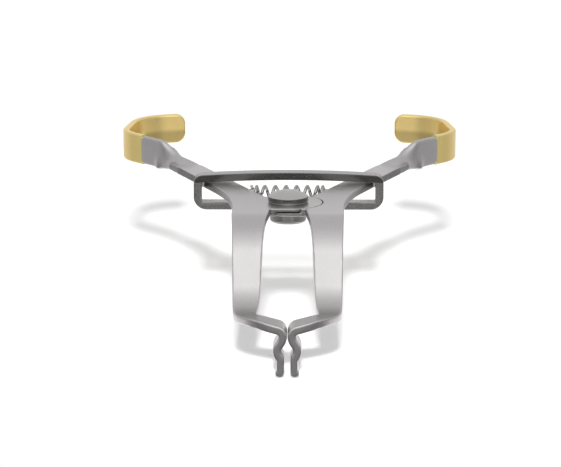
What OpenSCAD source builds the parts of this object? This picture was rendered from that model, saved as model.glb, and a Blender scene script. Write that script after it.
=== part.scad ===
// Self-retaining cheek retractor: two sprung levers on one pivot, with cheek blades behind,
// a pincer clip in front and a sliding locking frame.
// Millimetres. The pivot axis is Z, the blades point to +Y, Z = 0 is the underside of the pivot nut.

/* [Lever plate] */
// Thickness of the lever plate
plate_t = 2.2; // [1.8:0.1:3]
// Radius of the round half-lap lugs
lug_r = 9.75; // [8.5:0.25:12]
// Distance from the pivot axis to the front edge of the lap joint
crotch_y = 9.5; // [8:0.25:11]
// Half width of that front edge
crotch_half_w = 5; // [3:0.25:6]

/* [Arms] */
// Angle of each arm from straight back
arm_angle = 23.5; // [18:0.5:28]
// Distance from the pivot axis to the line of the arm's inner edge
arm_inner_offset = 3.3; // [2.5:0.1:4.5]
// Width of the arm
arm_w = 8; // [6.5:0.1:9.5]
// Length of the flat arm, from the pivot to the start of its twist
arm_len = 59; // [54:0.5:64]
// Radius of the outer curve from the arm into the leg
waist_r = 75; // [50:1:90]
// Length of the serrated stretch of the outer edge
serration_len = 21; // [8:1:24]
// Length by which the serrated edge runs on along the twisted end
serration_over = 10; // [4:1:12]
// Width of that running edge
edge_w = 1.8; // [1.2:0.1:2.5]
// Pitch of the serrations
serration_pitch = 1; // [0.6:0.1:1.5]
// Depth of the serrations
serration_depth = 0.3; // [0.1:0.05:0.5]

/* [Cheek blades] */
// Height of the blade
blade_h = 9.2; // [7:0.1:12]
// Thickness of the blade
blade_t = 2; // [1.2:0.1:2.2]
// How far the blade hangs below the top of the plate
blade_drop = 3; // [2.2:0.1:4]
// Length over which the arm twists upright
twist_len = 12.5; // [9:0.5:16]
// How much narrower the arm is in the middle of its twist
twist_waist = 3.5; // [1:0.1:4]
// Distance from the pivot, along the arm, to the outward turn of the blade root
root_start = 67; // [65:0.5:70]
// Outward turn of the blade root
root_turn = 17; // [8:0.5:22]
// Radius of that turn
root_r = 12; // [8:0.5:20]
// Length of bare steel between the root turn and the gold plating
bare_len = 10.5; // [4:0.5:12]
// Length of the straight plated stretch before the bend
front_len = 4.5; // [3:0.5:10]
// Radius of the blade's bend
bend_r = 13; // [9:0.5:18]
// Angle of the blade's bend
bend_turn = 48.5; // [40:0.5:60]
// Length of the blade's straight side, behind the bend
side_len = 9.5; // [4:0.5:14]
// Radius of the hook at the back of the blade
hook_r = 14; // [10:0.5:18]
// Angle of that hook
hook_turn = 66; // [40:0.5:80]
// Length of the straight tip, past the hook
tip_len = 6; // [4.5:0.5:12]
// Radius of the blade's end corners
tip_corner_r = 3.2; // [1.5:0.1:4]
// Radius of the stop lobe at the foot of the blade
lobe_r = 1.3; // [1:0.05:1.6]
// Height of the stop lobe
lobe_h = 3.2; // [1.5:0.1:4]
// Distance of the stop lobe past the root turn
lobe_along = 2.2; // [1.5:0.1:4]
// How far the stop lobe stands out of the blade's outer face
lobe_proud = 0.7; // [0.3:0.05:1]
// How far the stop lobe hangs below the blade's lower edge
lobe_drop = 0.4; // [0.1:0.05:0.8]

/* [Legs] */
// Distance from the pivot axis to the start of the upper bend
bend_start = 14.8; // [13:0.1:18]
// Half gap between the legs at the top
leg_gap_top = 5.5; // [5:0.05:7.5]
// Width of the leg at the top
leg_w_top = 10.3; // [8.5:0.1:11.5]
// Half gap between the legs at the bottom
leg_gap_bottom = 8.7; // [7.5:0.1:9.5]
// Width of the leg at the bottom
leg_w_bottom = 6.4; // [5.5:0.1:8]
// Slope of the leg below the plate
leg_pitch = 75; // [60:1:85]
// Outer radius of the upper bend
upper_bend_r = 12.2; // [8:0.1:15]
// Length of the straight stretch of the leg
leg_straight = 8; // [4:0.1:14]
// Inner radius of the lower bend
lower_bend_r = 9; // [6:0.1:12]
// Length of the flat foot in front of the lower bend
foot_len = 7.7; // [7:0.1:9]
// Radius of the foot's outer corner
foot_corner_r = 12; // [10:0.1:13]
// Radius of the inner corner between leg and foot
foot_inner_r = 0.9; // [0.5:0.1:1.4]

/* [Pincers] */
// Radius of the tube seat between the jaws
clip_r = 1.6; // [1.2:0.05:2.2]
// Thickness of the jaw ribbon
jaw_t = 2.4; // [1.6:0.1:2.6]
// Depth of the jaws, front to back
jaw_depth = 8.3; // [5:0.1:8.5]
// Downward slope of the foot towards the jaws
foot_slope = 14.5; // [8:0.5:20]
// Distance from the leg's inner edge to where the foot starts to slope
level_inset = 0.6; // [0.2:0.1:1.2]
// Length over which the foot eases into its slope
slope_ease = 0.8; // [0.4:0.1:1]
// Distance from the leg's inner edge to the jaw ribbon
ribbon_inset = 1.6; // [1.4:0.1:2.5]
// Radius of the bend from the foot into the jaw
shoulder_r = 3; // [2.4:0.1:4]
// Radius of the upper jaw crest, where the jaws meet
crest_r = 4.6; // [3.5:0.1:6]
// Radius of the lower jaw crest
lower_crest_r = 3; // [2.4:0.1:4]
// Half gap between the lower crests
mouth_half_gap = 0.9; // [0.4:0.05:1.1]
// Radius of the bead at the jaw's end
bead_r = 1.2; // [1:0.05:1.5]
// Distance from the lower crest to the bead's centre
bead_drop = 3.8; // [2:0.1:5]
// Thickness of the jaw above its bead
bead_neck_t = 2; // [1.4:0.1:2.2]

/* [Pivot] */
// Radius of the pivot shank
shank_r = 2.5; // [1.8:0.1:3.5]
// Radius of the pivot head
head_r = 5.75; // [4.5:0.05:7]
// Height of the head's side
head_side_h = 1.3; // [1:0.1:2.5]
// Height of the head's dome
dome_h = 1.8; // [1:0.1:2.8]
// Thickness of the washer
washer_t = 0.4; // [0.3:0.05:0.8]
// Radius of the washer
washer_r = 5.5; // [4.2:0.05:7]
// Radius of the pivot nut
nut_r = 5.2; // [4.2:0.1:7]
// Height of the pivot nut
nut_h = 3.4; // [2.4:0.1:5]
// Rounding of the nut's lower edge
nut_round = 0.8; // [0.3:0.1:1.2]

/* [Spring] */
// Distance from the pivot axis to the spring
spring_y = 18; // [16:0.1:20]
// Outer diameter of the spring
spring_d = 4.4; // [3.6:0.1:5]
// Diameter of the spring wire
wire_d = 0.95; // [0.7:0.05:1.1]
// Number of open turns in the middle
open_turns = 5.5; // [4:0.5:6]
// Number of close turns at each end
close_turns = 1.5; // [1:0.5:2]
// Pitch of the close turns
close_pitch = 1.5; // [1.4:0.05:1.6]
// Radius of a spring peg's tail, inside the arm
peg_r = 0.6; // [0.5:0.05:0.7]
// Length of a peg's nose, inside the spring
peg_nose = 2; // [1.5:0.1:3]
// Length of a peg's tail
peg_tail = 4.6; // [4.2:0.1:6]
// Radius of the flush head of a peg pin
pin_head_r = 1.15; // [0.8:0.05:1.4]
// Depth of that head
pin_head_h = 0.3; // [0.2:0.05:0.4]
// Radius of a peg pin's shank
pin_r = 0.3; // [0.25:0.05:0.35]
// Distance from the arm's inner edge to the pin, along the peg
pin_inset = 3.3; // [3:0.1:3.6]

/* [Locking frame] */
// Distance from the pivot axis to the frame's front face
frame_y = 25.2; // [24:0.1:30]
// Depth of the frame, front to back
frame_depth = 4.7; // [3.5:0.1:6]
// Height of the frame's window
window_h = 5.9; // [4.5:0.1:8]
// Thickness of the frame's rails
rail_t = 2.2; // [1.6:0.1:3]
// Thickness of the frame's end walls
wall_t = 2.4; // [1.8:0.1:3]
// Upward bow of the top rail
rail_bow = 0.8; // [0.4:0.05:1.2]
// Outer radius of the upper corners
upper_corner_r = 2.6; // [2:0.1:3.5]
// Outer radius of the lower corners
lower_corner_r = 3.8; // [2.5:0.1:5]

/* [Clearances] */
// Radial clearance round the pivot shank
shank_clear = 0.05; // [0.02:0.01:0.1]
// Radial clearance of the half-lap lugs
lap_clear = 0.3; // [0.1:0.01:0.4]
// Axial play between the stacked pieces of the pivot
pivot_play = 0.05; // [0.02:0.01:0.1]
// Gap between each jaw and the middle plane
jaw_clear = 0.05; // [0.02:0.01:0.1]
// Gap between the frame and the arms
frame_clear = 0.2; // [0.15:0.05:0.4]
// Gap round the spring and at its ends
spring_clear = 0.2; // [0.15:0.05:0.3]

/* [Hidden] */

$fn = 96;
// Segments of the very large circles of the waist and of the bowed rail
wide_fn = 720;
// Length by which a cutting shape runs past what it cuts
past = 1;
// Size of the prisms that the levers are cut from
reach = 90;
// How far the twisted stretch and the foot start inside their neighbours, and how much slimmer there
root_overlap = 0.6;
root_inset = 0.02;
// Largest angle between two points of an outlined bend
arc_step = 4;
// Rings of the twisted stretch and the blade root, and of the foot's outer and inner corners
root_rings = 30;
corner_rings = 12;
inner_rings = 15;
// Length over which the foot's thickness changes into that of the jaw ribbon
thick_run = 4;
// Rings in one turn of the spring wire, and sides of the wire
turn_rings = 8;
wire_sides = 6;

steel = [0.72, 0.72, 0.73];
dark_steel = [0.45, 0.45, 0.46];
bright_steel = [0.82, 0.82, 0.83];
gold = [0.83, 0.70, 0.40];

// Heights of the stacked plates
plate_z0 = nut_h + pivot_play;
plate_z1 = plate_z0 + plate_t;
lap_z = plate_z0 + plate_t / 2;
washer_z = plate_z1 + pivot_play;
head_z = washer_z + washer_t;
dome_r = (head_r ^ 2 + dome_h ^ 2) / (2 * dome_h);

// Directions along the right arm and outwards across it, in plan
along = [sin(arm_angle), cos(arm_angle)];
across = [cos(arm_angle), -sin(arm_angle)];
arm_outer_offset = arm_inner_offset + arm_w;

// A point in plan, at a distance across and along the right arm
function on_arm(p, s) = p * across + s * along;
// Sideways place of a line along the arm, where it crosses a distance back from the pivot
function arm_x(p, y) = (p + y * sin(arm_angle)) / cos(arm_angle);
// A direction in plan, turned outwards from straight back, and the direction outwards across it
function heading(a) = [sin(a), cos(a)];
function outwards(a) = [cos(a), -sin(a)];
// Smooth step from 0 to 1, and a value between two others
function ease(t) = t * t * (3 - 2 * t);
function between(a, b, t) = a + (b - a) * t;

// Waist curve, leg and foot, in plan
leg_out_top = leg_gap_top + leg_w_top;
leg_out_bottom = leg_gap_bottom + leg_w_bottom;
waist_x = leg_out_top + waist_r;
waist_y = (waist_x * cos(arm_angle) - arm_outer_offset - waist_r) / sin(arm_angle);
waist_s = waist_x * sin(arm_angle) + waist_y * cos(arm_angle);
lower_bend_end = bend_start + (upper_bend_r + lower_bend_r) * sin(leg_pitch) + leg_straight * cos(leg_pitch);
foot_front = lower_bend_end + foot_len;
foot_back = foot_front - jaw_depth;
// Centre of the foot's outer corner, and where the corner meets the bent plate and the leg's inner edge
corner_at = [leg_out_bottom - foot_corner_r, foot_corner_r - foot_front];
corner_from = asin(max(0, lower_bend_end + corner_at.y) / foot_corner_r);
corner_to = acos((leg_gap_bottom - corner_at.x) / foot_corner_r);
foot_drop = (upper_bend_r + lower_bend_r) * (1 - cos(leg_pitch)) + leg_straight * sin(leg_pitch);
foot_z = plate_z1 - foot_drop;
upper_bend_at = [bend_start, -upper_bend_r];
lower_bend_at = [lower_bend_end, lower_bend_r - foot_drop];

// Height of the foot's top, level beside the leg and easing into a slope towards the jaws
function foot_top(x) =
    let (run = level_x - x)
    foot_z - tan(foot_slope) * (run + sqrt(run ^ 2 + slope_ease ^ 2)) / 2;

// Jaw wave, sideways and up, from the middle plane
level_x = leg_gap_bottom - level_inset;
ribbon_x = leg_gap_bottom - ribbon_inset;
shoulder_x = jaw_clear + shoulder_r * (1 - sin(foot_slope));
shoulder_z = foot_top(shoulder_x) - shoulder_r * cos(foot_slope);
crest_x = jaw_clear + crest_r;
seat_z = shoulder_z - sqrt((crest_r + clip_r) ^ 2 - crest_x ^ 2);
upper_seat_angle = atan2(shoulder_z - seat_z, crest_x);
lower_crest_x = mouth_half_gap + lower_crest_r;
lower_crest_z = seat_z - sqrt((lower_crest_r + clip_r) ^ 2 - lower_crest_x ^ 2);
lower_seat_angle = atan2(seat_z - lower_crest_z, lower_crest_x);
bead_z = lower_crest_z - bead_drop;
// What the round tube seat is cut out of, on the outlined wave
seat_spare = 0.05;

// Cheek blade path, in plan
blade_z0 = plate_z1 - blade_drop;
blade_offset = arm_outer_offset - blade_t / 2;
root_heading = arm_angle + root_turn;
root_lead = root_start - arm_len;
root_arc = root_r * root_turn * PI / 180;
root_centre = on_arm(blade_offset, root_start) + root_r * outwards(arm_angle);
root_end = root_centre - root_r * outwards(root_heading);
gold_start = root_end + bare_len * heading(root_heading);
bend_from = gold_start + front_len * heading(root_heading);
bend_centre = bend_from - bend_r * outwards(root_heading);
side_heading = root_heading - bend_turn;
side_to = bend_centre + bend_r * outwards(side_heading) + side_len * heading(side_heading);
hook_centre = side_to - hook_r * outwards(side_heading);
tip_heading = side_heading - hook_turn;
hook_to = hook_centre + hook_r * outwards(tip_heading);
// How far the corner rounding reaches past the blade's edges
corner_ease = 0.02;
lobe_offset = blade_t / 2 + lobe_proud - lobe_r;
lobe_at = root_end + lobe_along * heading(root_heading) + lobe_offset * outwards(root_heading);

// Spring seats on the arms' inner edges
seat_x = arm_x(arm_inner_offset, spring_y);
coil_r = (spring_d - wire_d) / 2;
coil_half_len = seat_x - spring_clear - wire_d / 2;
total_turns = open_turns + 2 * close_turns;
open_pitch = 2 * (coil_half_len - close_turns * close_pitch) / open_turns;
nose_r = coil_r - wire_d / 2 - spring_clear;
pin_x = seat_x + pin_inset;

// Locking frame, tied to the arms' outer edges at its rear face
window_half_w = arm_x(arm_outer_offset, frame_y + frame_depth) + frame_clear;
frame_half_w = window_half_w + wall_t;
window_z1 = plate_z1 + frame_clear;
window_z0 = window_z1 - window_h;
frame_z0 = window_z0 - rail_t;
frame_z1 = window_z1 + rail_t;
bow_r = (window_half_w ^ 2 + rail_bow ^ 2) / (2 * rail_bow);
bow_z = window_z1 + rail_bow - bow_r;

// Points along an arc, and a list turned round
function arc(centre, r, from, to) =
    let (steps = max(2, ceil(abs(to - from) / arc_step)))
    [for (k = [0 : steps])
        let (a = between(from, to, k / steps))
        centre + r * [cos(a), sin(a)]];
function turned_round(points) = [for (k = [1 : len(points)]) points[len(points) - k]];

// A tube or bar with closed ends, from rings of points of equal count
module loft(rings) {
    sides = len(rings[0]);
    last = len(rings) - 1;
    side_faces = [for (k = [0 : last - 1], i = [0 : sides - 1], half = [0, 1])
        let (j = (i + 1) % sides, a = k * sides, b = a + sides)
        half == 0 ? [a + i, a + j, b + j] : [a + i, b + j, b + i]];
    end_faces = [for (i = [1 : sides - 2], end = [0, 1])
        end == 0 ? [0, i + 1, i] : [last * sides, last * sides + i, last * sides + i + 1]];
    polyhedron([for (ring = rings, p = ring) p], concat(side_faces, end_faces));
}

// Plan outline of the flat arm, with its serrated outer edge
module arm_outline() {
    first = arm_len - serration_len;
    last = arm_len + serration_over;
    teeth = floor((last - first) / serration_pitch);
    polygon(concat(
        [on_arm(arm_inner_offset, 0), on_arm(arm_outer_offset, 0)],
        [for (i = [0 : teeth - 1], half = [0, 1])
            on_arm(arm_outer_offset - half * serration_depth, first + (i + half / 2) * serration_pitch)],
        [on_arm(arm_outer_offset, last), on_arm(arm_outer_offset - edge_w, last)],
        [on_arm(arm_outer_offset - edge_w, arm_len), on_arm(arm_inner_offset, arm_len)]
    ));
}

// Plan outline of the outer curve between the arm and the leg
module waist_outline() {
    difference() {
        polygon([
            [leg_out_top, waist_y],
            on_arm(arm_outer_offset, waist_s),
            on_arm(arm_inner_offset, waist_s),
            [leg_gap_top, waist_y]
        ]);
        translate([waist_x, waist_y]) circle(waist_r, $fn = wide_fn);
    }
}

// Plan outline of the leg
module leg_outline() {
    polygon(concat([
        [0, 0],
        [0, -crotch_y],
        [crotch_half_w, -crotch_y],
        [leg_gap_top, -bend_start],
        [leg_gap_bottom, -lower_bend_end]
    ], arc(corner_at, foot_corner_r, -corner_to, 0), [
        [leg_out_top, -bend_start],
        [leg_out_top, waist_y + past],
        [leg_gap_top, waist_y + past]
    ]));
}

// One face of the bent plate in side view, at a depth below its top face: forwards along X, up along Y
function leg_face(depth) = concat(
    [[-reach, -depth]],
    arc(upper_bend_at, upper_bend_r - depth, 90, 90 - leg_pitch),
    arc(lower_bend_at, lower_bend_r + depth, 270 - leg_pitch, 270),
    [[lower_bend_end + root_overlap / 2, -foot_drop - depth]]
);

// Side profile of plate, leg and foot, the plate's top face at 0
module leg_profile() {
    polygon(concat(leg_face(0), turned_round(leg_face(plate_t))));
}

// One face of the wavy jaw in front view, at a depth behind its gripping face, right side
function jaw_face(depth) = concat(
    [[ribbon_x + depth * sin(foot_slope), foot_top(ribbon_x) - depth * cos(foot_slope)]],
    arc([jaw_clear + shoulder_r, shoulder_z], shoulder_r - depth, 90 + foot_slope, 180),
    arc([crest_x, shoulder_z], crest_r - depth, 180, 180 + upper_seat_angle),
    arc([0, seat_z], clip_r - seat_spare + depth, upper_seat_angle, -lower_seat_angle),
    arc([lower_crest_x, lower_crest_z], lower_crest_r - depth, 180 - lower_seat_angle, 180)
);

// Front profile of the sloping foot and the wavy jaw, with the round tube seat
module jaw_profile() {
    difference() {
        union() {
            polygon(concat(jaw_face(0), turned_round(jaw_face(jaw_t))));
            translate([mouth_half_gap, bead_z]) square([bead_neck_t, bead_drop + past / 4]);
            translate([mouth_half_gap + bead_r, bead_z]) circle(bead_r);
        }
        translate([0, seat_z]) circle(clip_r);
    }
}

// The jaw, its front rounded off with the foot's outer corner
module jaw() {
    jaw_z0 = bead_z - bead_r - past;
    intersection() {
        translate([0, -foot_back, 0]) rotate([90, 0, 0]) linear_extrude(jaw_depth) jaw_profile();
        translate([0, 0, jaw_z0]) linear_extrude(foot_z - jaw_z0 + past) {
            translate(corner_at) circle(foot_corner_r);
            translate([-past, -foot_front]) square([corner_at.x + past, jaw_depth + past]);
        }
    }
}

// Corner points of one cross-section, from the middle of one short side
function section(base, long_axis, short_axis, size, t) = [
    base + short_axis * t / 2,
    base + long_axis * size + short_axis * t / 2,
    base + long_axis * size - short_axis * t / 2,
    base - short_axis * t / 2
];

// Place and heading on the blade root, at a distance past the flat arm and an offset across it
function root_angle(u) = arm_angle + root_turn * min(1, max(0, (u - root_lead) / root_arc));
function root_at(u, offset) =
    u <= root_lead
        ? on_arm(offset, arm_len + u)
        : root_centre - (root_r + blade_offset - offset) * outwards(root_angle(u))
            + max(0, u - root_lead - root_arc) * heading(root_heading);

// Cross-section at a distance past the flat arm: it turns from flat to upright, and is waisted between
function root_section(u) =
    let (
        t = min(1, max(0, u / twist_len)),
        turn = 90 * ease(t),
        inset = u < 0 ? root_inset : root_inset * (1 - t),
        at = root_at(u, between(arm_outer_offset, blade_offset, ease(t))),
        out = [outwards(root_angle(u)).x, outwards(root_angle(u)).y, 0],
        up = [0, 0, 1],
        long_axis = up * sin(turn) - out * cos(turn),
        short_axis = up * cos(turn) + out * sin(turn),
        base = [at.x, at.y, between(lap_z, blade_z0, ease(t))]
    )
    section(
        base + long_axis * inset, long_axis, short_axis,
        between(arm_w, blade_h, t) - twist_waist * sin(180 * t) ^ 1.5 - 2 * inset,
        between(plate_t, blade_t, t) - 2 * inset
    );

// The twisted end of the arm and the bare root of the blade
module blade_root() {
    root_len = root_lead + root_arc + bare_len;
    loft(concat(
        [root_section(-root_overlap)],
        [for (k = [1 : root_rings]) root_section(root_len * k / root_rings)]
    ));
    translate([lobe_at.x, lobe_at.y, blade_z0 - lobe_drop]) cylinder(r = lobe_r, h = lobe_h);
}

// Edges of the foot in plan, front and back, at a distance from the middle plane
function foot_front_y(x) =
    let (past_corner = max(0, x - corner_at.x))
    corner_at.y - sqrt(max(0, foot_corner_r ^ 2 - past_corner ^ 2));
function foot_back_y(x) =
    let (into_corner = max(0, x - leg_gap_bottom + foot_inner_r))
    x > leg_gap_bottom
        ? root_overlap - lower_bend_end
        : foot_inner_r - foot_back - sqrt(max(0, foot_inner_r ^ 2 - into_corner ^ 2));

// Cross-section of the foot, front to back
function foot_section(x) =
    let (
        t = min(1, max(0, (x - ribbon_x) / thick_run)),
        top = foot_top(x) - root_inset,
        bottom = top + 2 * root_inset - between(jaw_t / cos(foot_slope), plate_t, t),
        front = foot_front_y(x) + root_inset,
        back = foot_back_y(x) - root_inset
    )
    [[x, back, bottom], [x, back, top], [x, front, top], [x, front, bottom]];

// The foot, from its rounded outer corner to the start of the jaw ribbon
module foot() {
    loft(concat(
        [for (k = [0 : corner_rings])
            let (x = corner_at.x + foot_corner_r * cos(between(corner_from, corner_to, k / corner_rings)))
            if (x > leg_gap_bottom + root_overlap) foot_section(x)],
        [foot_section(leg_gap_bottom + root_inset)],
        [for (k = [0 : inner_rings])
            foot_section(leg_gap_bottom - foot_inner_r * (1 - cos(90 * k / inner_rings)))],
        [foot_section(ribbon_x - root_overlap)]
    ));
}

// Flat plate, leg and foot, cut from the plan outline and the side profile
module bent_plate() {
    intersection() {
        translate([0, 0, foot_z - reach / 2]) linear_extrude(reach) {
            arm_outline();
            waist_outline();
            leg_outline();
        }
        translate([reach, 0, plate_z1]) rotate([90, 0, -90]) linear_extrude(reach) leg_profile();
    }
}

// One lap lug, cut off flush with the front edge of the joint
module lug(z0, z1) {
    translate([0, 0, z0]) linear_extrude(z1 - z0) intersection() {
        circle(lug_r);
        translate([-lug_r, -crotch_y]) square([2 * lug_r, lug_r + crotch_y]);
    }
}

// Holes for a spring peg and its pin, and the notch for the spring's end
module spring_seat_cut() {
    translate([0, spring_y, lap_z]) rotate([0, 90, 0]) {
        cylinder(r = spring_d / 2 + spring_clear, h = seat_x);
        cylinder(r = peg_r, h = seat_x + peg_tail);
    }
    translate([pin_x, spring_y, plate_z0 - past]) cylinder(r = pin_r, h = plate_t + past);
    translate([pin_x, spring_y, plate_z1 - pin_head_h]) cylinder(r = pin_head_r, h = pin_head_h + past);
}

// A whole lever on the right side, with its lug and the recess for the other lug at given heights
module lever(lug_z0, lug_z1, recess_z0, recess_z1) {
    color(steel) difference() {
        union() {
            difference() {
                bent_plate();
                translate([0, 0, recess_z0]) cylinder(r = lug_r + lap_clear, h = recess_z1 - recess_z0);
            }
            lug(lug_z0, lug_z1);
            blade_root();
            foot();
            jaw();
        }
        translate([0, 0, plate_z0 - past]) cylinder(r = shank_r + shank_clear, h = plate_t + 2 * past);
        spring_seat_cut();
    }
}

module right_lever() {
    lever(plate_z0, lap_z - pivot_play / 2, lap_z - pivot_play / 2, plate_z1 + past);
}

module left_lever() {
    mirror([1, 0, 0])
        lever(lap_z + pivot_play / 2, plate_z1, plate_z0 - past, lap_z + pivot_play / 2);
}

// One face of the plated blade in plan, at a distance outwards from its middle
function blade_face(d) = concat(
    [gold_start + d * outwards(root_heading)],
    arc(bend_centre, bend_r + d, -root_heading, -side_heading),
    arc(hook_centre, hook_r + d, -side_heading, -tip_heading),
    [hook_to + tip_len * heading(tip_heading) + d * outwards(tip_heading)]
);

// Plan outline of the plated blade: bend, straight side, hook and straight tip
module blade_outline() {
    polygon(concat(blade_face(blade_t / 2), turned_round(blade_face(-blade_t / 2))));
}

// What is cut off the blade's end to round its two corners: along the blade on X, up on Y
module tip_corners() {
    at = tip_corner_r - corner_ease;
    translate([tip_len - at, blade_h - at]) corner_cut();
    translate([tip_len - at, at]) rotate(-90) corner_cut();
}

module corner_cut() {
    difference() {
        square(tip_corner_r + past);
        circle(tip_corner_r);
    }
}

module right_blade() {
    color(gold) difference() {
        translate([0, 0, blade_z0]) linear_extrude(blade_h) blade_outline();
        translate([hook_to.x, hook_to.y, blade_z0]) rotate([0, 0, 90 - tip_heading])
            translate([0, blade_t / 2 + past, 0]) rotate([90, 0, 0]) linear_extrude(blade_t + 2 * past)
                tip_corners();
    }
}

module left_blade() {
    mirror([1, 0, 0]) right_blade();
}

module pivot_pin() {
    color(bright_steel) {
        cylinder(r = shank_r, h = head_z);
        translate([0, 0, head_z]) cylinder(r = head_r, h = head_side_h);
        intersection() {
            translate([0, 0, head_z + head_side_h + dome_h - dome_r]) sphere(dome_r);
            translate([0, 0, head_z + head_side_h]) cylinder(r = head_r, h = dome_h + past);
        }
    }
}

module pivot_washer() {
    color(dark_steel) translate([0, 0, washer_z]) difference() {
        cylinder(r = washer_r, h = washer_t);
        translate([0, 0, -past]) cylinder(r = shank_r, h = washer_t + 2 * past);
    }
}

module pivot_nut() {
    color(dark_steel) rotate_extrude() {
        translate([shank_r, 0]) square([nut_r - nut_round - shank_r, nut_h]);
        translate([shank_r, nut_round]) square([nut_r - shank_r, nut_h - nut_round]);
        translate([nut_r - nut_round, nut_round]) intersection() {
            circle(nut_round);
            translate([0, -nut_round]) square(nut_round);
        }
    }
}

// Spring wire: sideways place after a number of turns, and the wire's centre line
function coil_x(turns) =
    let (from_end = min(turns, total_turns - turns), closed = min(from_end, close_turns))
    let (inner = closed * close_pitch + (from_end - closed) * open_pitch)
    turns <= total_turns / 2 ? inner - coil_half_len : coil_half_len - inner;
function coil_point(turns) = [
    coil_x(turns),
    spring_y + coil_r * sin(360 * turns),
    lap_z + coil_r * cos(360 * turns)
];
wire_steps = total_turns * turn_rings;
coil_line = [for (k = [0 : wire_steps]) coil_point(k / turn_rings)];
function unit(v) = v / norm(v);
first_run = unit([0, -1, 0]);
last_run = unit([0, cos(360 * total_turns), -sin(360 * total_turns)]);
wire_line = concat(
    [coil_line[0] + wire_d * first_run],
    coil_line,
    [coil_line[wire_steps] + wire_d * last_run]
);
// One ring of the wire, square to its run
function wire_ring(k) =
    let (
        before = wire_line[max(k - 1, 0)],
        after = wire_line[min(k + 1, len(wire_line) - 1)],
        run = unit(after - before),
        side = unit(cross(run, [1, 0, 0])),
        lift = cross(side, run)
    )
    [for (i = [0 : wire_sides - 1])
        wire_line[k] + wire_d / 2 * (side * cos(360 * i / wire_sides) + lift * sin(360 * i / wire_sides))];
// Least gap between turns, measured on the centre line, half a turn or more apart
wire_gap = min([for (i = [0 : len(wire_line) - 1], k = [i + turn_rings / 2 + 1 : 1 : len(wire_line) - 1])
    norm(wire_line[i] - wire_line[k])]) - wire_d;
echo(least_spring_gap = wire_gap);

module compression_spring() {
    color(bright_steel) loft([for (k = [0 : len(wire_line) - 1]) wire_ring(k)]);
}

module right_spring_peg() {
    color(dark_steel) difference() {
        translate([seat_x, spring_y, lap_z]) rotate([0, 90, 0]) {
            cylinder(r = peg_r, h = peg_tail);
            translate([0, 0, -peg_nose]) cylinder(r = nose_r, h = peg_nose);
        }
        translate([pin_x, spring_y, plate_z0]) cylinder(r = pin_r, h = plate_t);
    }
}

module left_spring_peg() {
    mirror([1, 0, 0]) right_spring_peg();
}

module right_peg_pin() {
    color(steel) translate([pin_x, spring_y, 0]) {
        translate([0, 0, plate_z0]) cylinder(r = pin_r, h = plate_t - pin_head_h);
        translate([0, 0, plate_z1 - pin_head_h]) cylinder(r = pin_head_r, h = pin_head_h);
    }
}

module left_peg_pin() {
    mirror([1, 0, 0]) right_peg_pin();
}

// Front outline of the locking frame, outside
module frame_outline() {
    translate([-frame_half_w, frame_z0 + lower_corner_r])
        square([2 * frame_half_w, frame_z1 - frame_z0 - lower_corner_r - upper_corner_r]);
    translate([-frame_half_w + lower_corner_r, frame_z0])
        square([2 * (frame_half_w - lower_corner_r), lower_corner_r]);
    translate([-frame_half_w + upper_corner_r, frame_z1 - upper_corner_r])
        square([2 * (frame_half_w - upper_corner_r), upper_corner_r]);
    for (side = [-1, 1]) {
        translate([side * (frame_half_w - lower_corner_r), frame_z0 + lower_corner_r])
            circle(lower_corner_r);
        translate([side * (frame_half_w - upper_corner_r), frame_z1 - upper_corner_r])
            circle(upper_corner_r);
    }
    bowed(bow_r + rail_t, frame_z1);
}

// The stretch of a wide circle that rises above a height, between the window's ends
module bowed(r, z) {
    intersection() {
        translate([0, bow_z]) circle(r, $fn = wide_fn);
        translate([-window_half_w, z]) square([2 * window_half_w, 2 * rail_bow]);
    }
}

module locking_frame() {
    color(dark_steel) translate([0, frame_y + frame_depth, 0]) rotate([90, 0, 0]) linear_extrude(frame_depth)
        difference() {
            frame_outline();
            translate([-window_half_w, window_z0]) square([2 * window_half_w, window_h]);
            bowed(bow_r, window_z1);
        }
}

left_lever();
right_lever();
left_blade();
right_blade();
pivot_pin();
pivot_washer();
pivot_nut();
compression_spring();
left_spring_peg();
right_spring_peg();
left_peg_pin();
right_peg_pin();
locking_frame();
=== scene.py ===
import math

import bmesh
import bpy
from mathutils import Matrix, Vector
from mathutils.kdtree import KDTree


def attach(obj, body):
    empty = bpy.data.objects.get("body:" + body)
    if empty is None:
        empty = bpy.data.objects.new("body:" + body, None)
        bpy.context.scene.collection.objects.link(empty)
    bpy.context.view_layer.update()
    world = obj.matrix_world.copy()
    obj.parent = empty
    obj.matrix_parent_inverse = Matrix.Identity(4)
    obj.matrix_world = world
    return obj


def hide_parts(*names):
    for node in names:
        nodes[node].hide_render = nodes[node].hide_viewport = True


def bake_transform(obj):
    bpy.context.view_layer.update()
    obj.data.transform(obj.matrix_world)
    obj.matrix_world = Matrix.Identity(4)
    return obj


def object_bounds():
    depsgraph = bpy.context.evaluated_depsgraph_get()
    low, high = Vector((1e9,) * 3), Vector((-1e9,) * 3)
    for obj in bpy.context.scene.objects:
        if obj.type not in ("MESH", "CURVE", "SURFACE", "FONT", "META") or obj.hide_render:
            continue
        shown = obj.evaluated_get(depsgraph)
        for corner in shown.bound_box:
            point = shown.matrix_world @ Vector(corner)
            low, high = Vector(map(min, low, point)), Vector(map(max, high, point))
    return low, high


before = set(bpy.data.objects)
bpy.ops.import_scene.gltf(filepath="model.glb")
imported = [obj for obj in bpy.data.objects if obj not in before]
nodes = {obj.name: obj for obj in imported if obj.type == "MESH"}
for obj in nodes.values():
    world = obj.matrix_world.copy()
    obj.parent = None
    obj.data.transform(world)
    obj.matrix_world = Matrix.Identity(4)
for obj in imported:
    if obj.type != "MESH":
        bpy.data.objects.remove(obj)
cad_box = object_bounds()
scene = bpy.context.scene
MM = 0.001

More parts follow.
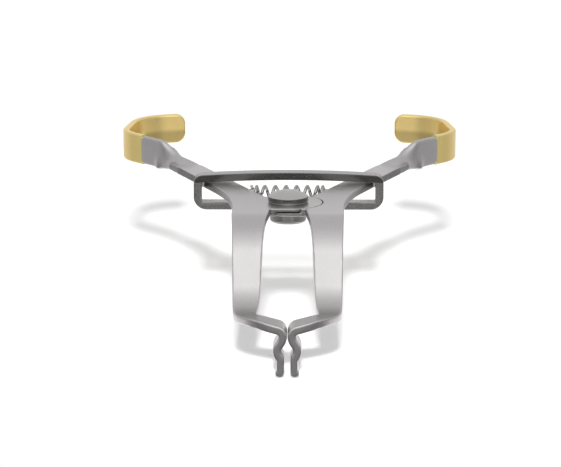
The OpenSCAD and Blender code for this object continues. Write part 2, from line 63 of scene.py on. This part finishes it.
# Places and sizes of the part in millimetres. The pivot's axis stands at x = 0 and y = 0.
PLATE_TOP = 5.65  # upper face of the levers' plate
LAP_Z = 4.55  # where the two halves of the lap joint meet
LUG_R = 9.75  # round lugs at the pivot
ARM_ANGLE = math.radians(23.5)  # lean of each arm away from the Y axis
ARM_OUTER = 11.3  # outer edge of an arm, measured square to its run
ARM_LEN = 59.0  # end of the flat arm, where its twist starts, measured along its run
SERRATION_LEN = 21.0  # serrated stretch of the flat arm's outer edge
RAIL_Z = 5.85  # underside of the frame's upper rail, at its ends
HOOK_Y = 93.0  # the blades' inner tips lie behind this place
SPRING_Y = 18.0  # axis of the spring, which lies at the height of the lap joint


# Mesh tools

FLAT_ANGLE = math.radians(0.4)  # faces that meet at less than this become one
EDGE_ANGLE = math.radians(28)  # edges sharper than this are rounded
SHADING_ANGLE = math.radians(40)  # edges sharper than this stay crisp in the shading
SAME_PLACE = 0.01  # vertices nearer than this, in millimetres, are shared


def new_object(name, data):
    obj = bpy.data.objects.new(name, data)
    scene.collection.objects.link(obj)
    return obj


def rounded(node, width, segments=3, weld=0.0002, skip=None):
    """A copy of a CAD node's mesh with its sharp edges rounded, but not where skip(p) is true."""
    mesh = nodes[node].data.copy()
    bm = bmesh.new()
    bm.from_mesh(mesh)
    bmesh.ops.remove_doubles(bm, verts=bm.verts, dist=weld * MM)
    bmesh.ops.dissolve_limit(bm, angle_limit=FLAT_ANGLE, verts=bm.verts, edges=bm.edges)
    bm.normal_update()
    sharp = []
    for edge in bm.edges:
        if len(edge.link_faces) != 2 or edge.calc_face_angle(0) < EDGE_ANGLE:
            continue
        if skip and skip((edge.verts[0].co + edge.verts[1].co) / 2 / MM):
            continue
        sharp.append(edge)
    bmesh.ops.bevel(
        bm, geom=sharp, offset=width * MM, offset_type="OFFSET", segments=segments,
        profile=0.5, affect="EDGES", clamp_overlap=False, loop_slide=True,
    )
    bm.to_mesh(mesh)
    bm.free()
    mesh.materials.clear()
    return mesh


def applied(mesh, kind, **settings):
    """A new mesh: the given one with a modifier applied."""
    holder = new_object("holder", mesh)
    modifier = holder.modifiers.new("step", kind)
    for key, value in settings.items():
        setattr(modifier, key, value)
    graph = bpy.context.evaluated_depsgraph_get()
    result = bpy.data.meshes.new_from_object(holder.evaluated_get(graph))
    bpy.data.objects.remove(holder)
    return result


def seam(lever, blade):
    """The flat end of a lever that its blade carries on from: vertex numbers, centre and way out."""
    shared = KDTree(len(blade.vertices))
    for v in blade.vertices:
        shared.insert(v.co, v.index)
    shared.balance()
    end = [v.index for v in lever.vertices if shared.find(v.co)[2] < SAME_PLACE * MM]
    centre = sum((lever.vertices[i].co for i in end), Vector()) / len(end)
    first, second = (lever.vertices[i].co - centre for i in end[:2])
    way = first.cross(second).normalized()
    far = sum((v.co for v in blade.vertices), Vector()) / len(blade.vertices)
    return end, centre, way if way.dot(far - centre) > 0 else -way


def eased(mesh, voxel, passes, share):
    """A fine copy of a mesh with its edges eased by passes(p) passes, thinned to a share of its faces."""
    fine = applied(mesh, "REMESH", mode="VOXEL", voxel_size=voxel * MM)
    bm = bmesh.new()
    bm.from_mesh(fine)
    wanted = [(v, passes(v.co / MM)) for v in bm.verts]
    done = 0
    for level in sorted({count for _, count in wanted}):
        moving = [v for v, count in wanted if count >= level]
        for _ in range(level - done):
            bmesh.ops.smooth_vert(
                bm, verts=moving, factor=0.5, use_axis_x=True, use_axis_y=True, use_axis_z=True
            )
        done = level
    bm.to_mesh(fine)
    bm.free()
    fine = applied(fine, "DECIMATE", decimate_type="COLLAPSE", ratio=share)
    fine.materials.clear()
    return fine


def dressed(node, mesh, body, mat, name=None):
    """The piece that stands for a CAD node, with its finish. A piece with no body is left unattached."""
    obj = new_object(name or node + "_fine", mesh)
    mesh.shade_smooth()
    mesh.set_sharp_from_angle(angle=SHADING_ANGLE)
    mesh.materials.append(mat)
    normals = obj.modifiers.new("normals", "WEIGHTED_NORMAL")
    normals.keep_sharp = True
    if body:
        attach(obj, body)
    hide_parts(node)
    return obj


# Node trees

class Tree:
    """Short ways to add nodes to a material or the world."""

    MIX_FACTOR, MIX_A, MIX_B, MIX_RESULT = 0, 6, 7, 2  # places of a Mix node's colour sockets

    def __init__(self, owner):
        owner.use_nodes = True
        self.nodes = owner.node_tree.nodes
        self.links = owner.node_tree.links

    def add(self, kind, **values):
        node = self.nodes.new("ShaderNode" + kind)
        for key, value in values.items():
            setattr(node, key, value)
        return node

    def link(self, out, into):
        self.links.new(out, into)

    def feed(self, value, socket):
        """Links an output to a socket, or sets the socket to a plain value."""
        if isinstance(value, bpy.types.NodeSocket):
            self.link(value, socket)
        else:
            socket.default_value = value

    def math(self, operation, *values):
        node = self.add("Math", operation=operation)
        for value, socket in zip(values, node.inputs):
            self.feed(value, socket)
        return node.outputs[0]

    def mixed(self, blend, factor, a, b):
        node = self.add("Mix", data_type="RGBA", blend_type=blend)
        self.feed(factor, node.inputs[self.MIX_FACTOR])
        self.feed(a, node.inputs[self.MIX_A])
        self.feed(b, node.inputs[self.MIX_B])
        return node.outputs[self.MIX_RESULT]

    def split(self, vector):
        node = self.add("SeparateXYZ")
        self.link(vector, node.inputs[0])
        return node.outputs

    def ramp(self, source, stops):
        """A ramp through (place, value) stops, where a value is a grey level or a colour."""
        node = self.add("ValToRGB")
        elements = node.color_ramp.elements
        while len(elements) < len(stops):
            elements.new(0.5)
        for element, (at, value) in zip(elements, stops):
            element.position = at
            element.color = (*value, 1) if isinstance(value, tuple) else grey(value)
        self.link(source, node.inputs["Fac"])
        return node.outputs["Color"]

    def grain(self, coords, scale, detail, turn=0.0, roughness=0.5):
        mapping = self.add("Mapping")
        mapping.inputs["Rotation"].default_value = (0, 0, turn)
        mapping.inputs["Scale"].default_value = scale
        self.link(coords, mapping.inputs["Vector"])
        noise = self.add("TexNoise")
        noise.inputs["Scale"].default_value = 1.0
        noise.inputs["Detail"].default_value = detail
        noise.inputs["Roughness"].default_value = roughness
        self.link(mapping.outputs["Vector"], noise.inputs["Vector"])
        return noise.outputs["Fac"]


def grey(level):
    return (level, level, level, 1)


# Materials. Grain scales are in waves per metre.

STREAK_SCALE = (4200, 500, 4200)
STREAK_DETAIL = 3.0
STREAK_TONE = (0.3, 0.7)  # noise levels of the darkest and the lightest streaks
STREAK_GLOSS = (0.25, 0.75)  # noise levels of the glossiest and the dullest streaks
CLOUD_SCALE = (90, 90, 90)
CLOUD_DETAIL = 4.0
CLOUD_ROUGHNESS = 0.6
CLOUD_STOPS = ((0.3, 0.93), (0.7, 1.0))
PIT_SCALE = (2600, 2600, 2600)
PIT_DETAIL = 2.0
RELIEF_DEPTH = 0.02  # millimetres
WORN_STOPS = ((0.52, 0.0), (0.6, 1.0))  # from flat places to protruding edges
WORN_GAIN = 1.2
WORN_SHARE = 0.5
FRONT_FACING = -0.6  # faces whose normal's Y is below this look to the front


def metal(name, colour, rough, streak=STREAK_SCALE, turn=0.0, vary=0.06, rough_vary=0.05, bump=0.012,
          turned=0.0):
    """Satin metal with fine streaks, faint clouds and brighter worn edges, or turned on a lathe."""
    mat = bpy.data.materials.new(name)
    tree = Tree(mat)
    bsdf = tree.nodes["Principled BSDF"]
    bsdf.inputs["Metallic"].default_value = 1.0
    coords = tree.add("TexCoord").outputs["Object"]
    streaks = tree.grain(coords, streak, STREAK_DETAIL, turn)
    clouds = tree.grain(coords, CLOUD_SCALE, CLOUD_DETAIL, turn, CLOUD_ROUGHNESS)
    pits = tree.grain(coords, PIT_SCALE, PIT_DETAIL)

    tones = (tuple(c * gain for c in colour) for gain in (1 - vary, 1 + vary))
    tone = tree.ramp(streaks, tuple(zip(STREAK_TONE, tones)))
    tone = tree.mixed("MULTIPLY", 1.0, tone, tree.ramp(clouds, CLOUD_STOPS))
    edges = tree.ramp(tree.add("NewGeometry").outputs["Pointiness"], WORN_STOPS)
    worn = tuple(min(1.0, c * WORN_GAIN) for c in colour) + (1,)
    tone = tree.mixed("MIX", tree.math("MULTIPLY", edges, WORN_SHARE), tone, worn)
    tree.link(tone, bsdf.inputs["Base Color"])

    gloss = tuple(zip(STREAK_GLOSS, (rough - rough_vary, rough + rough_vary)))
    tree.link(tree.ramp(streaks, gloss), bsdf.inputs["Roughness"])
    relief = tree.add("Bump")
    relief.inputs["Strength"].default_value = bump
    relief.inputs["Distance"].default_value = RELIEF_DEPTH * MM
    tree.link(tree.math("ADD", streaks, pits), relief.inputs["Height"])
    tree.link(relief.outputs["Normal"], bsdf.inputs["Normal"])
    if turned:
        bsdf.inputs["Anisotropic"].default_value = turned
        around_axis = tree.add("Tangent", direction_type="RADIAL", axis="Z")
        tree.link(around_axis.outputs["Tangent"], bsdf.inputs["Tangent"])
    return mat


def painted_shade(mat, axis, past, shade, fade=None):
    """Paints shade into the colour of the faces that look to the front past a place on an axis.

    A fade gives the heights where the shade starts and where it is full.
    """
    tree = Tree(mat)
    base = tree.nodes["Principled BSDF"].inputs["Base Color"]
    coords = tree.add("TexCoord").outputs
    place = tree.split(coords["Object"])
    facing = tree.split(coords["Normal"])
    beyond = tree.math("GREATER_THAN", place[axis], past * MM)
    front = tree.math("LESS_THAN", facing["Y"], FRONT_FACING)
    amount = tree.math("MULTIPLY", beyond, front)
    if fade:
        low = tree.add("MapRange")
        low.inputs["From Min"].default_value = fade[0] * MM
        low.inputs["From Max"].default_value = fade[1] * MM
        tree.link(place["Z"], low.inputs["Value"])
        amount = tree.math("MULTIPLY", amount, low.outputs["Result"])
    tree.link(tree.mixed("MULTIPLY", amount, base.links[0].from_socket, grey(shade)), base)


STEEL = (0.56, 0.542, 0.545)
STEEL_ROUGHNESS = 0.33
NUT_STREAK = (300, 300, 3000)

left_steel = metal("brushed_steel_left", STEEL, STEEL_ROUGHNESS, turn=-ARM_ANGLE)
right_steel = metal("brushed_steel_right", STEEL, STEEL_ROUGHNESS, turn=ARM_ANGLE)
# Painted shade: a darker, rougher steel for upright serrated and waist edge faces, standing in for the
# dark room they reflect
painted_edge_shade = metal(
    "painted_edge_shade", (0.3, 0.295, 0.29), rough=0.42, streak=(900, 900, 2600), vary=0.15
)
# Painted shade: near-black steel in the open line of the lap joint, darkening the lips' rounded edges
painted_joint_shade = metal(
    "painted_joint_shade", (0.07, 0.068, 0.066), rough=0.5, streak=(900, 900, 900), vary=0.1
)
turned_steel = metal(
    "turned_steel", (0.56, 0.555, 0.55), rough=0.3, streak=(300, 300, 4200), vary=0.02, bump=0.0,
    turned=0.85,
)
nut_steel = metal(
    "nut_steel", (0.34, 0.335, 0.33), rough=0.34, streak=NUT_STREAK, vary=0.05, bump=0.0
)
# Painted shade: much darker steel for the upright rim of the pivot pin's head
painted_rim_shade = metal(
    "painted_rim_shade", (0.17, 0.165, 0.16), rough=0.24, streak=NUT_STREAK, vary=0.04, bump=0.0
)
pin_steel = metal("pin_steel", (0.5, 0.495, 0.49), rough=0.3, streak=(2600, 2600, 2600))
spring_steel = metal(
    "spring_wire", (0.42, 0.415, 0.41), rough=0.09, streak=(1800, 1800, 1800), rough_vary=0.03, bump=0.0
)

# Painted shade: the front of the frame's upper rail is darkened, standing in for the dark room it
# reflects
RAIL_SHADE = 0.35
frame_steel = metal(
    "frame_steel", (0.34, 0.335, 0.33), rough=0.27, streak=(300, 1500, 1500), vary=0.03,
    rough_vary=0.015, bump=0.003,
)
painted_shade(frame_steel, "Z", RAIL_Z, RAIL_SHADE)

# Painted shade: the lower half of the blades' inner tips is darkened, standing in for the dark floor and
# arm they reflect
TIP_SHADE = 0.64
TIP_FADE = (7.4, 6.0)  # heights in millimetres
gold = metal("gold_plate", (0.99, 0.76, 0.31), rough=0.32, streak=(1500, 1500, 4200), vary=0.04)
painted_shade(gold, "Y", HOOK_Y, TIP_SHADE, TIP_FADE)


# Levers and blades, in millimetres

SERRATION_START = ARM_LEN - SERRATION_LEN - 0.5
SERRATION_INNER = ARM_OUTER - 0.45  # just inside the teeth
TWIST_START = ARM_LEN - 0.5
SOFT_START = ARM_LEN + 6.5  # the teeth die out here, and the twisted end is softest beyond
SOFT_INNER = ARM_OUTER - 3.0
JOINT_FRONT_Y = -6.0  # the open line of the lap joint lies in front of this
JOINT_HALF_H = 0.27
JOINT_R = LUG_R + 0.3
LUG_ZONE_R = LUG_R + 0.8
WAIST_Y = (-20.0, -5.0)
WAIST_HALF_W = 10.5

VOXEL = 0.17
THINNED_TO = 0.28  # share of the faces
SOFT_PASSES = 140
TWIST_PASSES = 24
LUG_PASSES = 2
SERRATION_PASSES = 3
EDGE_PASSES = 8

END_SHRINK = 0.93  # the lever's end is a little smaller than the blade it sinks into
END_SINK = 1.0
UPRIGHT = 0.5  # faces whose normal rises less than this are upright
OUTWARD = -0.1  # faces whose normal leans out more than this look outward
EDGE_SHADE_INDEX = 1
JOINT_SHADE_INDEX = 2
BLADE_ROUND = 0.7
BLADE_SEGMENTS = 5
SEAM_NEAR = 0.05


def along_arm(p):
    """Distance across and along the nearer arm, from the pivot."""
    x = abs(p.x)
    return (
        x * math.cos(ARM_ANGLE) - p.y * math.sin(ARM_ANGLE),
        x * math.sin(ARM_ANGLE) + p.y * math.cos(ARM_ANGLE),
    )


def on_serrations(p):
    """The serrated outer edge of an arm, which runs on into its twist."""
    across, along = along_arm(p)
    return across > SERRATION_INNER and SERRATION_START < along < SOFT_START


def in_lap_joint(p):
    """The narrow line between the two halves of the lap, in front of the pivot."""
    return abs(p.z - LAP_Z) < JOINT_HALF_H and p.y < JOINT_FRONT_Y and math.hypot(p.x, p.y) < JOINT_R


def on_waist_edge(p):
    """The front edge of the lugs and the legs' inner edges next to it."""
    return WAIST_Y[0] < p.y < WAIST_Y[1] and abs(p.x) < WAIST_HALF_W


def ease_passes(p):
    """Crisp serrations, soft twist and blade root, lightly broken edges elsewhere."""
    across, along = along_arm(p)
    if along > SOFT_START and across > SOFT_INNER:
        return SOFT_PASSES
    if along > TWIST_START:
        return TWIST_PASSES
    if math.hypot(p.x, p.y) < LUG_ZONE_R:
        return LUG_PASSES
    return SERRATION_PASSES if on_serrations(p) else EDGE_PASSES


def build_lever(side, sign, mat):
    """One lever, with its end sunk into its blade. Gives the centre of their seam and its way out."""
    mesh = nodes[side + "_lever"].data.copy()
    end, centre, way = seam(mesh, nodes[side + "_blade"].data)
    for i in end:
        v = mesh.vertices[i]
        v.co = centre + (v.co - centre) * END_SHRINK + way * END_SINK * MM
    mesh = eased(mesh, VOXEL, ease_passes, THINNED_TO)
    dressed(side + "_lever", mesh, side + "_side", mat)
    mesh.materials.append(painted_edge_shade)
    mesh.materials.append(painted_joint_shade)
    outward = Vector((sign * math.cos(ARM_ANGLE), -math.sin(ARM_ANGLE), 0))
    for face in mesh.polygons:
        p = face.center / MM
        upright = abs(face.normal.z) < UPRIGHT
        serrated = face.normal.dot(outward) > OUTWARD and on_serrations(p)
        # Painted shade in the lap joint's line
        if in_lap_joint(p):
            face.material_index = JOINT_SHADE_INDEX
        # Painted shade: upright serrated and waist edges take the darker steel
        elif upright and (serrated or on_waist_edge(p)):
            face.material_index = EDGE_SHADE_INDEX
    return centre, way


def build_blade(side, centre, way):
    """One blade, with round edges apart from those at the seam with its lever."""
    def at_seam(p):
        return abs((p * MM - centre).dot(way)) < SEAM_NEAR * MM

    mesh = rounded(side + "_blade", BLADE_ROUND, BLADE_SEGMENTS, skip=at_seam)
    dressed(side + "_blade", mesh, side + "_side", gold)


for side, sign, mat in (("left", -1, left_steel), ("right", 1, right_steel)):
    build_blade(side, *build_lever(side, sign, mat))


# Frame, pivot and pegs, in millimetres

FRAME_ROUND = 0.18
FRAME_WELD = 0.02
PIN_ROUND = 0.12
NUT_ROUND = 0.15
WASHER_ROUND = 0.06
RIM_SLOPE = 0.6  # faces of the pin whose normal rises less than this are its rim
RIM_INDEX = 1

mesh = rounded("locking_frame", FRAME_ROUND, weld=FRAME_WELD)
dressed("locking_frame", mesh, "frame", frame_steel)

mesh = rounded("pivot_pin", PIN_ROUND)
dressed("pivot_pin", mesh, "pivot", turned_steel)
# Painted shade on the pin head's upright rim
mesh.materials.append(painted_rim_shade)
for face in mesh.polygons:
    if abs(face.normal.z) < RIM_SLOPE:
        face.material_index = RIM_INDEX

dressed("pivot_nut", rounded("pivot_nut", NUT_ROUND), "pivot", nut_steel)
dressed("pivot_washer", rounded("pivot_washer", WASHER_ROUND), "pivot", nut_steel)

for node in ("left_spring_peg", "right_spring_peg", "left_peg_pin", "right_peg_pin"):
    for slot in nodes[node].material_slots:
        slot.material = pin_steel


# Spring: the same coil as the CAD node, with round wire, in millimetres

COIL_R = 1.725
COIL_HALF = 10.75
WIRE_R = 0.475
TOTAL_TURNS = 8.5
CLOSE_TURNS = 1.5
CLOSE_PITCH = 1.5
OPEN_PITCH = 2 * (COIL_HALF - CLOSE_TURNS * CLOSE_PITCH) / (TOTAL_TURNS - 2 * CLOSE_TURNS)
TURN_STEPS = 36
WIRE_SIDES = 14


def coil_point(turns):
    """The middle of the wire after some turns, counted from the left end."""
    from_end = min(turns, TOTAL_TURNS - turns)
    closed = min(from_end, CLOSE_TURNS)
    x = closed * CLOSE_PITCH + (from_end - closed) * OPEN_PITCH - COIL_HALF
    angle = 2 * math.pi * turns
    return Vector((
        x if turns <= TOTAL_TURNS / 2 else -x,
        SPRING_Y + COIL_R * math.sin(angle),
        LAP_Z + COIL_R * math.cos(angle),
    ))


steps = int(TOTAL_TURNS * TURN_STEPS)
line = [coil_point(k / TURN_STEPS) for k in range(steps + 1)]


def wire_ring(k):
    """The wire's round section at one step, square to its run."""
    run = (line[min(k + 1, steps)] - line[max(k - 1, 0)]).normalized()
    out = run.cross(Vector((1, 0, 0))).normalized()
    lift = out.cross(run)
    angles = [2 * math.pi * i / WIRE_SIDES for i in range(WIRE_SIDES)]
    return [(line[k] + WIRE_R * (out * math.cos(a) + lift * math.sin(a))) * MM for a in angles]


def wire(first, last):
    """The closed wire between two steps of the coil."""
    bm = bmesh.new()
    rings = [[bm.verts.new(p) for p in wire_ring(k)] for k in range(first, last + 1)]
    for ring, after in zip(rings, rings[1:]):
        for i in range(WIRE_SIDES):
            j = (i + 1) % WIRE_SIDES
            bm.faces.new((ring[i], ring[j], after[j], after[i]))
    bm.faces.new(reversed(rings[0]))
    bm.faces.new(rings[-1])
    bmesh.ops.recalc_face_normals(bm, faces=bm.faces)
    mesh = bpy.data.meshes.new("wire")
    bm.to_mesh(mesh)
    bm.free()
    return mesh


# Two halves of the coil, each from the middle to the lever that its end sits on, left unattached
middle = steps // 2
for side, sign, first, last in (("left", -1, 0, middle), ("right", 1, middle, steps)):
    name = "compression_spring_" + side
    half = dressed("compression_spring", wire(first, last), None, spring_steel, name)
    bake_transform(half)


# Camera, at the photograph's viewing angle

PHOTO_W = 561
FOCAL_PX = 2807
SENSOR_W = 36
CAMERA_AWAY = 0.8  # metres from the pivot
CAMERA_RISE = math.radians(12.25)
CAMERA_SWING = math.radians(0.3)
CAMERA_DIP = math.radians(12.897)
CAMERA_PAN = math.radians(0.1593)

pivot = Vector((0, 0, PLATE_TOP * MM))
from_pivot = Vector((
    math.sin(CAMERA_SWING) * math.cos(CAMERA_RISE),
    -math.cos(CAMERA_SWING) * math.cos(CAMERA_RISE),
    math.sin(CAMERA_RISE),
))
lens = bpy.data.cameras.new("camera")
lens.sensor_width = SENSOR_W
lens.lens = SENSOR_W * FOCAL_PX / PHOTO_W
camera = new_object("camera", lens)
camera.location = pivot + CAMERA_AWAY * from_pivot
camera.rotation_euler = (math.pi / 2 - CAMERA_DIP, 0, CAMERA_SWING + CAMERA_PAN)
scene.camera = camera
scene.view_settings.view_transform = "Standard"


# Room: white for the camera, soft greys for light and reflections

# Walls, from the front to the back
WALL_STOPS = ((0.0, 0.1), (0.2, 0.16), (0.35, 0.4), (0.5, 0.5), (0.72, 0.7), (1.0, 0.86))
# Ceiling, which takes over from the walls as the view rises
CEILING = 0.75
CEILING_STOPS = ((0.2, 0.0), (0.5, 1.0))
# Glow in front of the part, from its rim to its middle, which fades out below the horizon
GLOW = 1.66
GLOW_RISE = math.radians(9)
GLOW_STOPS = ((0.1, 0.0), (0.39, 0.16), (0.68, 0.36), (0.89, 0.7), (0.96, 1.0))
HORIZON = 0.5  # place of the horizon on the stops below
HORIZON_STOPS = ((0.31, 0.0), (0.6, 1.0))
# Both sides, which are a little darker
SIDE_STOPS = ((0.25, 1.0), (0.85, 0.87))

world = bpy.data.worlds.new("studio")
scene.world = world
tree = Tree(world)
tree.nodes.clear()
direction = tree.add("TexCoord").outputs["Generated"]
toward = tree.split(direction)
back_share = tree.math("MULTIPLY_ADD", toward["Y"], 0.5, 0.5)  # 0 in front, 1 behind
colour = tree.ramp(back_share, WALL_STOPS)
colour = tree.mixed("MIX", tree.ramp(toward["Z"], CEILING_STOPS), colour, grey(CEILING))
facing = tree.add("VectorMath", operation="DOT_PRODUCT")
tree.link(direction, facing.inputs[0])
facing.inputs[1].default_value = (0, -math.cos(GLOW_RISE), math.sin(GLOW_RISE))
glow = tree.ramp(facing.outputs["Value"], GLOW_STOPS)
above = tree.ramp(tree.math("ADD", toward["Z"], HORIZON), HORIZON_STOPS)
colour = tree.mixed("MIX", tree.math("MULTIPLY", glow, above), colour, grey(GLOW))
sides = tree.ramp(tree.math("ABSOLUTE", toward["X"]), SIDE_STOPS)
room = tree.add("Background")
tree.link(tree.mixed("MULTIPLY", 1.0, colour, sides), room.inputs["Color"])
white = tree.add("Background")
white.inputs["Color"].default_value = grey(1)
choose = tree.add("MixShader")
tree.link(tree.add("LightPath").outputs["Is Camera Ray"], choose.inputs[0])
tree.link(room.outputs[0], choose.inputs[1])
tree.link(white.outputs[0], choose.inputs[2])
tree.link(choose.outputs[0], tree.add("OutputWorld").inputs[0])


# Floor: pale paper just under the part, lifted a little where it is seen

# How far it lies below the part and reaches past it, in millimetres
FLOOR_BELOW = 0.06
FLOOR_BESIDE = 13.1
FLOOR_BEFORE = 0.25
FLOOR_BEHIND = 234.5
# Finish
PAPER = 0.75
PAPER_ROUGHNESS = 0.9
PAPER_LIFT = 0.085

low, high = cad_box
level = low[2] - FLOOR_BELOW * MM
left = low[0] - FLOOR_BESIDE * MM
right = high[0] + FLOOR_BESIDE * MM
front = low[1] - FLOOR_BEFORE * MM
back = high[1] + FLOOR_BEHIND * MM
corners = [(left, front, level), (right, front, level), (right, back, level), (left, back, level)]
floor_mesh = bpy.data.meshes.new("floor")
floor_mesh.from_pydata(corners, [], [(0, 1, 2, 3)])
floor = new_object("floor", floor_mesh)
paper = bpy.data.materials.new("paper")
tree = Tree(paper)
bsdf = tree.nodes["Principled BSDF"]
bsdf.inputs["Base Color"].default_value = grey(PAPER)
bsdf.inputs["Roughness"].default_value = PAPER_ROUGHNESS
bsdf.inputs["Specular IOR Level"].default_value = 0.0
bsdf.inputs["Emission Color"].default_value = grey(1)
path = tree.add("LightPath").outputs
seen = tree.math("MAXIMUM", path["Is Camera Ray"], path["Is Glossy Ray"])
tree.link(tree.math("MULTIPLY", seen, PAPER_LIFT), bsdf.inputs["Emission Strength"])
floor_mesh.materials.append(paper)


# Key light: a soft square lamp in front and above, left out of the reflections

KEY_AT = Vector((0, -1.12, 0.68))  # metres
KEY_SIZE = 0.13  # metres
KEY_POWER = 31  # watts

lamp = bpy.data.lights.new("key", "AREA")
lamp.size = KEY_SIZE
lamp.energy = KEY_POWER
key = new_object("key", lamp)
key.location = KEY_AT
key.rotation_mode = "QUATERNION"
key.rotation_quaternion = (-KEY_AT).to_track_quat("-Z", "Y")
key.visible_glossy = False
